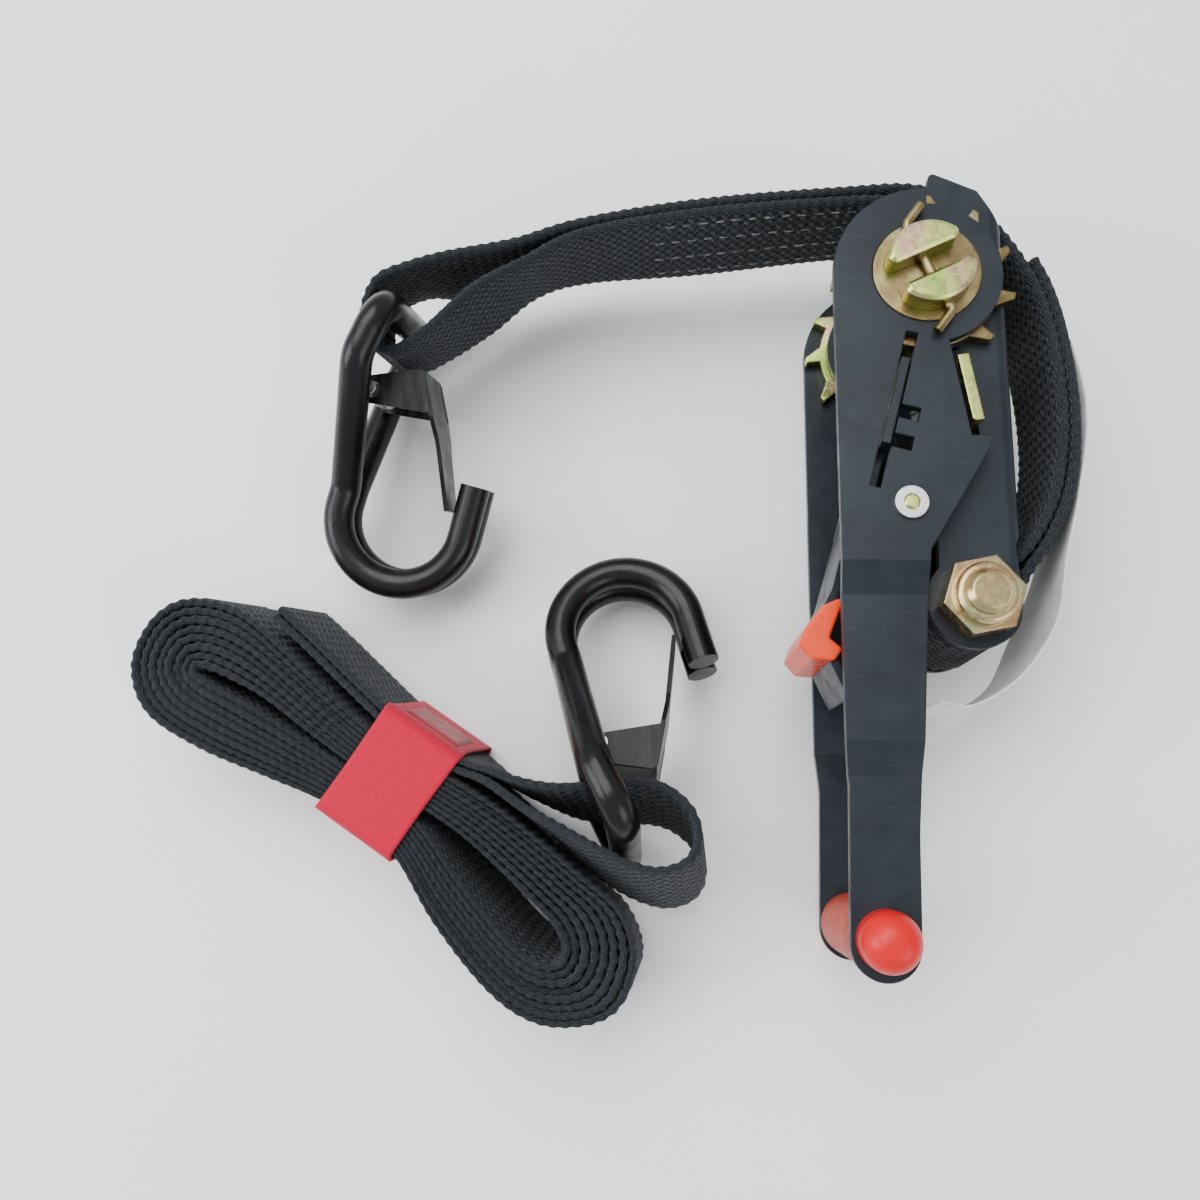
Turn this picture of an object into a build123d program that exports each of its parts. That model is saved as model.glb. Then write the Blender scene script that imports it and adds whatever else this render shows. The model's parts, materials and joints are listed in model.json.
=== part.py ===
from build123d import *
import os
from math import cos, radians, sin

# Two-part ratchet tie-down set for 25 mm webbing, laid out on a floor.  Millimetres, +Z up.
# The buckle lies on its side with its spool's axis vertical; every strap stands on its edge.
# Buckle and strap sizes are given from the spool's axis, which stands at SPOOL_X, SPOOL_Y.
SPOOL_X, SPOOL_Y = 63.1, 56.7
MID = 26.0  # height of the buckle's middle plane above the floor

# webbing
WEB_WIDTH = 25.0
WEB_THICK = 1.7

# layers of the buckle, each side of its middle plane
FRAME_IN, FRAME_OUT = 14.0, 16.0
GEAR_IN, GEAR_OUT = 16.2, 18.7
ARM_IN, ARM_OUT = 19.0, 21.0
SPOOL_END = 26.0

# spool and its two toothed wheels
SPOOL_R = 8.1
SPOOL_GAP = 4.4
SPOOL_CORNER = 1.4
SPOOL_TURN = 25.0  # direction of the webbing slot
TEETH = 11
GEAR_TIP_R, GEAR_ROOT_R = 17.4, 14.3
HUB_R = 10.1
TOOTH_FOOT = 13.5  # degrees that a tooth spans at its foot
STEEP_FACE = -76.2  # direction of one steep tooth face, from +X
RUN = 0.08  # radial clearance of a running fit
COTTER_R = 0.9
COTTER_LEVEL = 22.6

# pawls: angles of their travel, from -Y, and the clearance from the teeth at rest
DRIVE_LEAN = -14.6
LOCK_LEAN = 9.7
LOCK_TIP = (6.0, -16.6)
LOCK_LENGTH = 13.0
LOCK_THICK = 2.0
DRIVE_TIP_R = 17.75
DRIVE_THICK = 1.6

# handle
HANDLE_CAM_R = 14.2
HANDLE_HEAD_R = 17.4
GRIP_X, GRIP_Y = -11.4, -121.5
GRIP_R = 6.0
CAP_R = 5.2
ARM_END_Y = GRIP_Y - 1.0
CROSS_X, CROSS_Y = -4.8, -45.4

# anchor bolt
BOLT_X, BOLT_Y = 7.3, -62.3
BOLT_R = 4.0
SLEEVE_R = 6.0

# hooks
ROD_R = 3.2
HOOK_HALF = 18.1
HOOK_TILT = 14.0
HOOK_HEIGHT = 23.25
JAW_HALF = 3.35
BOWL_R = 13.5
BOWL = (0.3, 43.0)
KEEPER_PIN = (-4.4, 16.0)
BOWL_HEADING = 107.5  # direction in which the wire enters the bowl
BOWL_STEP = 60.8  # turn at each corner of the bowl's guide line
BOWL_LEAD, TIP_REACH = 3.2, 11.0  # straight wire before the bowl and after it
HOOK_A = (-105.0, 2.3)
HOOK_B = (-56.3, -106.2)
HOOK_B_LEAN = 1.0

# short strap: its edge line falls a little from the buckle towards its hook
STRAP_FALL = 1.4
STRAP_HEIGHT = 24.9

# long strap, wound into a flat coil; its long axis and middle
COIL = (-102.3, -95.5)
COIL_TURN = -33.4
COIL_LIFT = 0.6
EYE_RISE = 14.0
BAND_HALF = 9.0
BAND_MID, BAND_SPAN = 2.1, 23.6

os.makedirs("parts", exist_ok=True)


def level(height, x=0.0, y=0.0, turn=0.0):
    """A horizontal plane at a height above the floor, its origin x, y from the spool's axis."""
    place = Location((SPOOL_X + x, SPOOL_Y + y, height), (0, 0, turn))
    return Plane(place)


def side(offset):
    """A horizontal plane at an offset above or below the buckle's middle."""
    return level(MID + offset)


def finish(name, part):
    """Name a solid after its node and write its STEP file."""
    part.label = name
    export_step(part, f"parts/{name}.step")


def polar(radius, angle):
    return (radius * cos(radians(angle)), radius * sin(radians(angle)))


# ---------------------------------------------------------------- frame of the buckle
NECK_X = 1.0
HEAD_CORNER = (2.6, 24.0)
WEB_TOP, WEB_FOOT = -12.0, -49.0
WEB_X = 16.4
SHEET, BEND_R = 2.0, 0.6
TAIL_R = 8.8

with BuildPart() as base_frame:
    with BuildSketch(side(-FRAME_OUT)):
        with BuildLine():
            Polyline(
                (NECK_X, 12.0), HEAD_CORNER, (11.8, 19.8), (WEB_X, 12.0), (WEB_X, WEB_FOOT),
                (WEB_X - 1.4, WEB_FOOT - 3), (BOLT_X + TAIL_R, BOLT_Y), (BOLT_X, BOLT_Y),
                (NECK_X, BOLT_Y), (NECK_X, 12.0),
            )
        make_face()
        fillet(vertices().group_by(Axis.Y)[-1], 1.0)
        Circle(13.0)
        with Locations((BOLT_X, BOLT_Y)):
            Circle(TAIL_R)
        Circle(SPOOL_R + RUN, mode=Mode.SUBTRACT)
        with Locations((BOLT_X, BOLT_Y)):
            Circle(BOLT_R + RUN, mode=Mode.SUBTRACT)
    extrude(amount=2 * FRAME_OUT)
    # the sheet is bent to a U: two side plates and the back web that joins them
    with BuildSketch(Plane((SPOOL_X, SPOOL_Y + 40, MID), x_dir=(1, 0, 0), z_dir=(0, -1, 0))):
        with Locations((WEB_X, 0)):
            Rectangle(60, 2 * FRAME_OUT, align=(Align.MAX, Align.CENTER))
        fillet(vertices().group_by(Axis.X)[-1], BEND_R + SHEET)
        with Locations((WEB_X - SHEET, 0)):
            Rectangle(60, 2 * FRAME_IN, align=(Align.MAX, Align.CENTER), mode=Mode.SUBTRACT)
    extrude(amount=120, mode=Mode.INTERSECT)
    # the web ends short of the side plates at the spool and at the bolt
    with BuildSketch(side(-FRAME_IN)):
        with Locations((0, WEB_TOP)):
            Rectangle(60, 60, align=(Align.CENTER, Align.MIN))
        with Locations((0, WEB_FOOT)):
            Rectangle(60, 40, align=(Align.CENTER, Align.MAX))
    extrude(amount=2 * FRAME_IN, mode=Mode.SUBTRACT)
    # slots that the lock pawl slides in
    travel_in, travel_out = 3.6, 1.6
    with BuildSketch(side(-FRAME_OUT - 1)):
        with Locations(Location((LOCK_TIP[0], LOCK_TIP[1], 0), (0, 0, LOCK_LEAN))):
            with Locations((0, travel_in)):
                Rectangle(
                    LOCK_THICK + 0.5, LOCK_LENGTH + travel_in + travel_out,
                    align=(Align.CENTER, Align.MAX),
                )
    extrude(amount=2 * FRAME_OUT + 2, mode=Mode.SUBTRACT)
finish("base_frame", base_frame.part)

with BuildPart() as bolt_sleeve:
    with BuildSketch(side(-FRAME_IN + 0.1)):
        with Locations((BOLT_X, BOLT_Y)):
            Circle(SLEEVE_R)
            Circle(BOLT_R + RUN, mode=Mode.SUBTRACT)
    extrude(amount=2 * FRAME_IN - 0.2)
finish("bolt_sleeve", bolt_sleeve.part)

HEAD_H, NUT_H, THREAD_END = 5.3, 8.0, 9.2
with BuildPart() as anchor_bolt:
    with BuildSketch(side(-FRAME_OUT - HEAD_H)):
        with Locations((BOLT_X, BOLT_Y)):
            RegularPolygon(6.5, 6, major_radius=False)
    extrude(amount=HEAD_H)
    with BuildSketch(side(-FRAME_OUT)):
        with Locations((BOLT_X, BOLT_Y)):
            Circle(BOLT_R)
    extrude(amount=2 * FRAME_OUT + THREAD_END)
    chamfer(anchor_bolt.faces().sort_by(Axis.Z)[-1].edges(), 0.9)
finish("anchor_bolt", anchor_bolt.part)

with BuildPart() as anchor_nut:
    with BuildSketch(side(FRAME_OUT)):
        with Locations(Location((BOLT_X, BOLT_Y, 0), (0, 0, 12))):
            RegularPolygon(6.5, 6, major_radius=False)
    extrude(amount=5.6)
    with BuildSketch(side(FRAME_OUT + 5.6)):
        with Locations((BOLT_X, BOLT_Y)):
            Circle(5.6)
    extrude(amount=NUT_H - 5.6)
    fillet(anchor_nut.faces().sort_by(Axis.Z)[-1].edges(), 1.0)
    with BuildSketch(side(FRAME_OUT)):
        with Locations((BOLT_X, BOLT_Y)):
            Circle(BOLT_R)
    extrude(amount=NUT_H, mode=Mode.SUBTRACT)
finish("anchor_nut", anchor_nut.part)

# ---------------------------------------------------------------- lock pawl and its spring
PAWL_EAR = 20.8
with BuildPart() as lock_pawl:
    lock_place = level(MID - PAWL_EAR, *LOCK_TIP, LOCK_LEAN)
    with BuildSketch(lock_place):
        Rectangle(LOCK_THICK, LOCK_LENGTH, align=(Align.CENTER, Align.MAX))
    extrude(amount=2 * PAWL_EAR)
    # between the side plates the tip is cut back, clear of the webbing on the spool
    with BuildSketch(lock_place.offset(PAWL_EAR - FRAME_IN + 0.4)):
        Rectangle(LOCK_THICK * 2, 5.0, align=(Align.CENTER, Align.MAX))
    extrude(amount=2 * (FRAME_IN - 0.4), mode=Mode.SUBTRACT)
    fillet(lock_pawl.edges().filter_by(Axis.Z).group_by(Axis.Y)[0], 0.6)
finish("lock_pawl", lock_pawl.part)


def coil_spring(name, start, heading, turns, pitch, radius, wire):
    """An open helical spring that starts at a point and runs along a heading."""
    with BuildPart() as spring:
        with BuildLine():
            turns_of_wire = Helix(pitch, pitch * turns, radius, center=start, direction=heading)
        with BuildSketch(Plane(turns_of_wire @ 0, z_dir=turns_of_wire % 0)):
            Circle(wire)
        sweep(is_frenet=True)
    finish(name, spring.part)


lock_heading = Vector(sin(radians(LOCK_LEAN)), -cos(radians(LOCK_LEAN)), 0)
lock_foot = Vector(SPOOL_X + LOCK_TIP[0], SPOOL_Y + LOCK_TIP[1], MID) + lock_heading * (LOCK_LENGTH + 1.9)
coil_spring("lock_pawl_spring", tuple(lock_foot), tuple(lock_heading), 5, 1.7, 2.0, 0.35)

# ---------------------------------------------------------------- spool
slot_plane = level(MID - SPOOL_END, 0, 0, SPOOL_TURN)
with BuildSketch(slot_plane) as spool_section:
    # two half rounds, with the webbing's slot between them
    Circle(SPOOL_R)
    Rectangle(2.1 * SPOOL_R, SPOOL_GAP, mode=Mode.SUBTRACT)
    fillet(vertices(), SPOOL_CORNER)

with BuildPart() as bars:
    add(spool_section.sketch)
    extrude(amount=2 * SPOOL_END)
    for end in (-1, 0):
        chamfer(bars.faces().group_by(Axis.Z)[end].edges(), 0.6)
    for level_of_pin in (-COTTER_LEVEL, COTTER_LEVEL):
        pin_place = slot_plane.location * Location((0, 0, SPOOL_END + level_of_pin), (90, 0, 0))
        with BuildSketch(Plane(pin_place)):
            Circle(COTTER_R + 0.02)
        extrude(amount=SPOOL_R + 1, both=True, mode=Mode.SUBTRACT)
for name, bar in zip(("spool_bar_outer", "spool_bar_inner"), bars.part.solids().sort_by(Axis.Y)[::-1]):
    finish(name, bar)


def tooth_wheel(name, inner, outer, hub_end):
    """A toothed wheel between two offsets from the middle plane, with a hub the handle turns on."""
    low = min(inner, outer)
    with BuildPart() as wheel:
        with BuildSketch(side(low)):
            Circle(GEAR_ROOT_R)
            pitch = 360 / TEETH
            for n in range(TEETH):
                face = STEEP_FACE + n * pitch
                with BuildLine():
                    Polyline(
                        polar(GEAR_ROOT_R - 1, face), polar(GEAR_TIP_R, face),
                        polar(GEAR_TIP_R, face - 4), polar(GEAR_ROOT_R, face - TOOTH_FOOT),
                        polar(GEAR_ROOT_R - 1, face - TOOTH_FOOT), polar(GEAR_ROOT_R - 1, face),
                    )
                make_face()
        extrude(amount=abs(outer - inner))
        with BuildSketch(side(min(outer, hub_end))):
            Circle(HUB_R)
        extrude(amount=abs(hub_end - outer))
        add(spool_section.sketch)
        extrude(amount=2 * SPOOL_END, mode=Mode.SUBTRACT)
    finish(name, wheel.part)


tooth_wheel("gear_upper", GEAR_IN, GEAR_OUT, ARM_OUT + 0.3)
tooth_wheel("gear_lower", -GEAR_IN, -GEAR_OUT, -ARM_OUT - 0.3)

for name, sign in (("cotter_pin_upper", 1), ("cotter_pin_lower", -1)):
    height = MID + sign * COTTER_LEVEL
    pin_plane = level(height, 0, 0, SPOOL_TURN)
    with BuildPart() as cotter:
        reach = SPOOL_R + 1.4
        ends = [(4.6, reach + 2.6), (0, reach), (0, -reach), (-4.6, -reach - 2.6)]
        with BuildLine(pin_plane):
            FilletPolyline(*ends, radius=1.6)
        pin_line = cotter.pending_edges_as_wire
        with BuildSketch(Plane(pin_line @ 0, z_dir=pin_line % 0)):
            Circle(COTTER_R)
        sweep()
    finish(name, cotter.part)

# ---------------------------------------------------------------- handle
SIDE_LINE = [  # how far the arm's outer face stands from the middle, along its length
    (21.0, ARM_OUT), (-56.0, ARM_OUT), (-62.0, ARM_OUT - 1.5), (-88.0, ARM_OUT - 1.5),
    (-94.0, ARM_OUT - 3.2), (-132.0, ARM_OUT - 3.2),
]
ARM_THICK = ARM_OUT - ARM_IN
GRIP_END = SIDE_LINE[-1][1]


def handle_arm(name, sign):
    """One stamped arm: its outline, its dog-legs, and the slots that guide the drive pawl."""
    with BuildPart() as arm:
        with BuildSketch(level(0)):
            with BuildLine():
                Polyline(
                    (-17.4, 0.0), (-17.4, -88.0), (-16.8, -96.0), (-17.4, ARM_END_Y),
                    (GRIP_X + 6.0, ARM_END_Y), (-5.0, -104.0), (-3.8, -88.0), (-1.6, -54.1), (10.6, -33.6),
                    (10.4, -32.5), (6.7, -32.5), (3.4, -14.0), (0.0, 0.0), (-17.4, 0.0),
                )
            make_face()
            with Locations((GRIP_X, ARM_END_Y)):
                Circle(6.0)
            # large round of the head on the left, cam round on the right
            Circle(HANDLE_HEAD_R)
            with Locations((0.6, 0)):
                Rectangle(30, 2 * HANDLE_HEAD_R + 2, align=(Align.MIN, Align.CENTER), mode=Mode.SUBTRACT)
            Circle(HANDLE_CAM_R)
            with BuildLine():
                Polyline(
                    (-8.0, -16.0), (-8.0, -54.0), (-1.6, -54.1), (10.6, -33.6), (10.4, -32.5),
                    (6.7, -32.5), (3.4, -13.0), (-8.0, -16.0),
                )
            make_face()
            Circle(HUB_R + RUN, mode=Mode.SUBTRACT)
            with Locations((GRIP_X, GRIP_Y)):
                Circle(2.5 + RUN / 4, mode=Mode.SUBTRACT)
            with Locations((CROSS_X, CROSS_Y)):
                Circle(1.5, mode=Mode.SUBTRACT)
            # F-shaped slot, along the drive pawl's travel
            with Locations(Location((0, 0, 0), (0, 0, DRIVE_LEAN))):
                with Locations((0, -12.6)):
                    Rectangle(2.3, 31.2, align=(Align.CENTER, Align.MAX), mode=Mode.SUBTRACT)
                for reach in (27.0, 32.8):
                    with Locations((0, -reach)):
                        Rectangle(4.8, 2.7, align=(Align.MIN, Align.MAX), mode=Mode.SUBTRACT)
        extrude(amount=2 * MID)
        with BuildSketch(Plane((SPOOL_X - 30, SPOOL_Y, MID), x_dir=(0, 1, 0), z_dir=(1, 0, 0))):
            outer = [(y, sign * z) for y, z in SIDE_LINE]
            inner = [(y, sign * (z - ARM_THICK)) for y, z in reversed(SIDE_LINE)]
            with BuildLine():
                Polyline(*outer, *inner, outer[0])
            make_face()
        extrude(amount=60, mode=Mode.INTERSECT)
    finish(name, arm.part)


handle_arm("handle_arm_upper", 1)
handle_arm("handle_arm_lower", -1)

with BuildPart() as grip_rod:
    with BuildSketch(side(-GRIP_END - 1.6)):
        with Locations((GRIP_X, GRIP_Y)):
            Circle(2.5)
    extrude(amount=2 * GRIP_END + 3.2)
finish("grip_rod", grip_rod.part)

with BuildPart() as grip_sleeve:
    with BuildSketch(side(-GRIP_END + ARM_THICK + 0.05)):
        with Locations((GRIP_X, GRIP_Y)):
            Circle(GRIP_R)
            Circle(2.5, mode=Mode.SUBTRACT)
    extrude(amount=2 * (GRIP_END - ARM_THICK - 0.05))
    fillet(grip_sleeve.edges().filter_by(GeomType.CIRCLE).sort_by(Axis.Z)[0], 0.8)
finish("grip_sleeve", grip_sleeve.part)

for name, sign in (("grip_cap_upper", 1), ("grip_cap_lower", -1)):
    cap_height = SPOOL_END - GRIP_END
    with BuildPart() as cap:
        with BuildSketch(side(sign * GRIP_END)):
            with Locations((GRIP_X, GRIP_Y)):
                Circle(CAP_R)
        extrude(amount=sign * cap_height)
        fillet(cap.faces().sort_by(Axis.Z)[-1 if sign > 0 else 0].edges(), 4.6)
        with BuildSketch(side(-GRIP_END - 1.6)):
            with Locations((GRIP_X, GRIP_Y)):
                Circle(2.5)
        extrude(amount=2 * GRIP_END + 3.2, mode=Mode.SUBTRACT)
    finish(name, cap.part)

with BuildPart() as cross_pin:
    with BuildSketch(side(-ARM_OUT - 1.2)):
        with Locations((CROSS_X, CROSS_Y)):
            Circle(1.5)
    extrude(amount=2 * ARM_OUT + 2.4)
    chamfer(cross_pin.faces().sort_by(Axis.Z)[-1].edges(), 0.4)
    chamfer(cross_pin.faces().sort_by(Axis.Z)[0].edges(), 0.4)
finish("cross_pin", cross_pin.part)

with BuildPart() as push_washers:
    for start in (-ARM_OUT - 0.8, ARM_OUT):
        with BuildSketch(side(start)):
            with Locations((CROSS_X, CROSS_Y)):
                Circle(3.0)
                Circle(1.5, mode=Mode.SUBTRACT)
        extrude(amount=0.8)
finish("push_washers", push_washers.part)

# ---------------------------------------------------------------- drive pawl with its finger tab
TAB_HALF = 11.0
PLATE_HALF = 15.4
drive_line = level(0, 0, 0, DRIVE_LEAN)
TAB_LINE = [(-10.96, -38.5), (-17.0, -59.6), (-21.8, -69.0), (-17.9, -72.2), (-14.6, -79.4)]
with BuildPart() as drive_pawl:
    with BuildSketch(drive_line.offset(MID - PAWL_EAR)):
        with Locations((0, -DRIVE_TIP_R)):
            Rectangle(DRIVE_THICK, 35.0 - DRIVE_TIP_R, align=(Align.CENTER, Align.MAX))
    extrude(amount=2 * PAWL_EAR)
    with BuildSketch(drive_line.offset(MID - FRAME_OUT - 0.2)):
        with Locations((0, -DRIVE_TIP_R + 1)):
            Rectangle(4, 5, align=(Align.CENTER, Align.MAX))
    extrude(amount=2 * (FRAME_OUT + 0.2), mode=Mode.SUBTRACT)
    with BuildSketch(drive_line.offset(MID - PLATE_HALF)):
        with Locations((0, -DRIVE_TIP_R - 4)):
            Rectangle(DRIVE_THICK, 22.0, align=(Align.CENTER, Align.MAX))
    extrude(amount=2 * PLATE_HALF)
    with BuildSketch(level(MID - TAB_HALF)):
        with BuildLine():
            FilletPolyline(*TAB_LINE, radius=1.2)
        trace(line_width=DRIVE_THICK)
    extrude(amount=2 * TAB_HALF)
finish("drive_pawl", drive_pawl.part)

with BuildPart() as release_tab:
    with BuildSketch(level(MID - TAB_HALF - 1.2)):
        with BuildLine():
            Polyline(
                (-15.4, -60.6), (-19.8, -62.6), (-23.0, -66.8), (-24.2, -70.0), (-22.0, -72.6),
                (-17.8, -72.9), (-16.2, -70.6), (-18.6, -68.6), (-15.4, -60.6),
            )
        make_face()
        fillet(vertices(), 0.7)
    extrude(amount=2 * TAB_HALF + 2.4)
    fillet(release_tab.faces().filter_by(Axis.Z).edges(), 0.5)
    with BuildSketch(level(MID - TAB_HALF)):
        with BuildLine():
            FilletPolyline(*TAB_LINE, radius=1.2)
        trace(line_width=DRIVE_THICK)
    extrude(amount=2 * TAB_HALF, mode=Mode.SUBTRACT)
finish("release_tab", release_tab.part)

coil_spring(
    "drive_pawl_spring", (SPOOL_X + CROSS_X, SPOOL_Y + CROSS_Y, MID - 5.0), (0, 0, 1), 6, 1.7, 2.4, 0.4
)

# ---------------------------------------------------------------- short strap, on edge
strap_tilt = radians(STRAP_FALL)
strap_axis = (-sin(strap_tilt), 0, cos(strap_tilt))


def strap_level(offset):
    """The short strap's own plane: through the bolt, falling towards the hook."""
    origin = (SPOOL_X + BOLT_X, SPOOL_Y + BOLT_Y, STRAP_HEIGHT)
    return Plane(origin, x_dir=(cos(strap_tilt), 0, sin(strap_tilt)), z_dir=strap_axis).offset(offset)


def from_bolt(*points):
    return [(x - BOLT_X, y - BOLT_Y) for x, y in points]


LOOP_R = SLEEVE_R + 0.65 + WEB_THICK / 2
with BuildPart() as short_strap:
    with BuildSketch(strap_level(-WEB_WIDTH / 2)):
        with BuildLine():
            Spline(
                *from_bolt(
                    (19.0, -52.5), (25.5, -38.5), (27.3, -24.0), (26.2, -8.0), (22.3, 5.0), (13.8, 17.6),
                    (2.0, 23.6), (-14.0, 24.0), (-42.0, 21.6), (-66.0, 19.2), (-80.0, 15.8), (-94.0, 13.0),
                    (-102.2, 12.0), (-108.4, 9.0), (-110.6, 2.0), (-109.0, -4.6), (-104.4, -6.5),
                    (-98.0, -3.2), (-88.0, 5.0), (-78.0, 12.0), (-66.0, 16.9), (-42.0, 19.6), (-14.0, 21.9),
                )
            )
        trace(line_width=WEB_THICK)
        Circle(LOOP_R + WEB_THICK / 2)
        with BuildLine():
            Polyline(*from_bolt((19.0, -52.5), (15.0, -58.6)))
        trace(line_width=WEB_THICK)
        Circle(LOOP_R - WEB_THICK / 2, mode=Mode.SUBTRACT)
    extrude(amount=WEB_WIDTH)
finish("short_strap", short_strap.part)

with BuildPart() as strap_label:
    with BuildSketch(strap_level(-12.0)):
        with BuildLine():
            Spline(
                *from_bolt(
                    (28.6, -12.0), (29.4, -24.0), (28.0, -40.0), (24.4, -54.0), (20.6, -66.0), (15.4, -75.4),
                    (8.0, -79.6), (-0.5, -79.8),
                )
            )
        trace(line_width=0.4)
    extrude(amount=24.0)
finish("strap_label", strap_label.part)


# ---------------------------------------------------------------- hooks
def hook(suffix, place, lean, flip):
    """A double-J wire hook with its keeper, keeper pin and keeper spring.

    The hook's own axes: u across, s from the bridge to the bowl, n along the bridge.
    """
    tilt = radians(HOOK_TILT)
    turn = radians(lean)
    forward = -1 if flip else 1  # the first hook points to -Y, the second to +Y
    along = Vector(-sin(turn) * cos(tilt) * forward, forward * cos(turn) * cos(tilt), -sin(tilt))
    across = Vector(cos(turn), sin(turn), 0)
    origin = Vector(SPOOL_X + place[0], SPOOL_Y + place[1], HOOK_HEIGHT)
    frame = Plane(origin, x_dir=across, z_dir=across.cross(along))

    def at(u, s, n):
        return frame.from_local_coords(Vector(u, s, n))

    def round_bowl(radius, direction, reach=0.0):
        """A point at a radius from the bowl's middle, then a reach at right angles to it."""
        out = polar(radius, direction)
        on = polar(reach, direction - 90)
        return (BOWL[0] + out[0] + on[0], BOWL[1] + out[1] + on[1])

    corner_reach = BOWL_R / cos(radians(BOWL_STEP / 2))
    first = BOWL_HEADING + 90
    corners = [round_bowl(corner_reach, first - (k + 0.5) * BOWL_STEP) for k in range(3)]
    entry = round_bowl(BOWL_R, first, -BOWL_LEAD)
    tip = round_bowl(BOWL_R, first - 3 * BOWL_STEP, TIP_REACH)
    with BuildPart() as rod:
        for mirror_side in (1, -1):
            points = [at(0, 0, 0), at(0, 0, mirror_side * HOOK_HALF), at(-5.2, 10.4, mirror_side * HOOK_HALF)]
            points += [at(*entry, mirror_side * JAW_HALF)]
            points += [at(*c, mirror_side * JAW_HALF) for c in corners]
            points += [at(*tip, mirror_side * JAW_HALF)]
            with BuildLine():
                FilletPolyline(*points, radius=[6.0, 8.0, 6.0, BOWL_R - 0.2, BOWL_R - 0.2, BOWL_R - 0.2])
            path = rod.pending_edges_as_wire
            with BuildSketch(Plane(path @ 0, z_dir=path % 0)):
                Circle(ROD_R)
            sweep()
    finish(f"hook_{suffix}", rod.part)

    pin_u, pin_s = KEEPER_PIN
    pin_half = 12.4
    with BuildPart() as pin:
        with BuildSketch(frame.offset(-pin_half)):
            with Locations((pin_u, pin_s)):
                Circle(1.5)
        extrude(amount=2 * pin_half)
    finish(f"keeper_pin_{suffix}", pin.part)

    ear_in, ear_out = 8.2, 9.0
    with BuildPart() as keeper:
        # two ears on the pin
        for start in (-ear_out, ear_in):
            with BuildSketch(frame.offset(start)):
                with BuildLine():
                    Polyline(
                        (pin_u - 2.6, pin_s + 2.0), (pin_u - 2.6, pin_s - 2.6), (5.4, 11.8), (6.6, 12.8),
                        (8.2, 21.0), (pin_u - 1.0, pin_s + 2.8), (pin_u - 2.6, pin_s + 2.0),
                    )
                make_face()
                with Locations((pin_u, pin_s)):
                    Circle(1.5 + RUN, mode=Mode.SUBTRACT)
            extrude(amount=ear_out - ear_in)
        # the tongue, from the ears to the hook's tips
        with BuildSketch(frame.offset(-ear_out)):
            with BuildLine():
                Polyline((5.9, 12.2), (8.6, 26.0), (10.2, 41.0))
            trace(line_width=0.9)
        extrude(amount=2 * ear_out)
        tongue = Plane(at(30, 0, 0), x_dir=along, z_dir=-across)
        with BuildSketch(tongue):
            with BuildLine():
                Polyline(
                    (9.0, ear_out), (21.6, ear_out), (28.0, 6.6), (45.0, 5.2), (45.0, -5.2), (28.0, -6.6),
                    (21.6, -ear_out), (9.0, -ear_out), (9.0, ear_out),
                )
            make_face()
        extrude(amount=45.0, mode=Mode.INTERSECT)
    finish(f"keeper_{suffix}", keeper.part)

    normal = frame.z_dir
    coil_spring(
        f"keeper_spring_{suffix}", tuple(at(pin_u, pin_s, -4.0)), tuple(normal), 6, 1.3, 2.2, 0.35
    )


hook("a", HOOK_A, 0.0, True)
hook("b", HOOK_B, HOOK_B_LEAN, False)

# ---------------------------------------------------------------- long strap
coil_base = level(COIL_LIFT, *COIL, COIL_TURN)
with BuildPart() as long_strap_coil:
    with BuildSketch(coil_base):
        with BuildLine():
            Spline(
                (61.3, -6.0), (58.6, 1.4), (51.5, 6.4), (42.0, 7.2), (30.0, 8.4), (18.0, 9.3), (2.0, 9.1),
                (-8.0, 9.3), (-18.0, 10.4), (-34.0, 13.2), (-45.0, 14.4), (-53.6, 12.2), (-59.8, 7.0), (-61.4, -0.6),
                (-58.0, -9.8), (-49.0, -15.6), (-35.5, -15.1), (-21.0, -11.7), (-9.0, -8.9), (0.0, -8.4),
                (9.4, -9.2), (22.5, -14.6), (39.0, -18.8), (50.0, -18.0), (58.3, -12.4),
                periodic=True,
            )
        make_face()
        with BuildLine():
            Polyline((14.0, -0.4), (38.0, -0.6), (43.6, -3.0), (43.4, -7.0), (38.0, -8.0), (14.0, -0.4))
        make_face(mode=Mode.SUBTRACT)
    extrude(amount=WEB_WIDTH)
finish("long_strap_coil", long_strap_coil.part)

coil_middle = level(COIL_LIFT + WEB_WIDTH / 2, *COIL, COIL_TURN).location
eye_plane = Plane(coil_middle * Location((8, 0, 0), (0, -EYE_RISE, 0)))
with BuildPart() as long_strap_eye:
    with BuildSketch(eye_plane.offset(-WEB_WIDTH / 2)):
        with BuildLine():
            Spline(
                (4.6, 10.9), (10.0, 10.7), (20.0, 10.0), (28.0, 9.2), (36.0, 8.9), (43.0, 9.1), (48.5, 11.2),
                (51.8, 15.6), (51.4, 21.0), (47.4, 25.2), (41.4, 26.0), (36.0, 24.4), (30.0, 20.0),
                (23.0, 16.0), (13.0, 13.3), (4.6, 12.7),
            )
        trace(line_width=WEB_THICK)
    extrude(amount=WEB_WIDTH)
    with BuildSketch(coil_base):
        with BuildLine():
            Spline((9.6, 11.75), (0.0, 11.7), (-8.0, 11.8), (-18.0, 13.4), (-30.0, 15.4), (-39.0, 16.6))
        trace(line_width=3.9)
    extrude(amount=WEB_WIDTH)
finish("long_strap_eye", long_strap_eye.part)

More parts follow.
